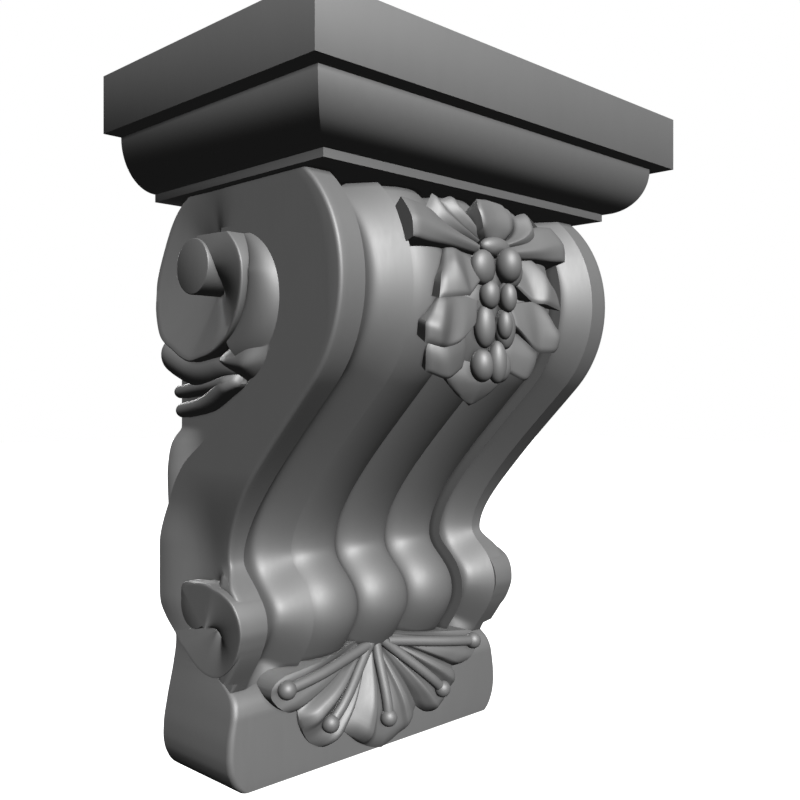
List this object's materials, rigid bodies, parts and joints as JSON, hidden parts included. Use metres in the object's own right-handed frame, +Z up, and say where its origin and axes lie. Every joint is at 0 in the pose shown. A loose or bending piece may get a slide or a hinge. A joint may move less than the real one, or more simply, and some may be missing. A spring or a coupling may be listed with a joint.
{
  "type": "carved wall bracket",
  "caption": "Carved wall bracket with a moulded cap board, an S-curved ribbed front, side volutes, a leaf drop and a foot palmette.",
  "frame": {"origin": "on the flat back face that goes against the wall, midway across it and halfway up the whole height", "axes": "+Z up, +Y out of the back face into the wall, so the carved front faces -Y and +X is to the viewer's right"},
  "size_m": [0.228, 0.1386, 0.3],
  "materials": {
    "cap_paint": "satin stone-grey paint over smooth wood",
    "console_paint": "satin stone-grey paint over carved wood"
  },
  "bodies": {
    "root": {"cap": "cap_paint", "console": "console_paint"}
  },
  "joints": []
}
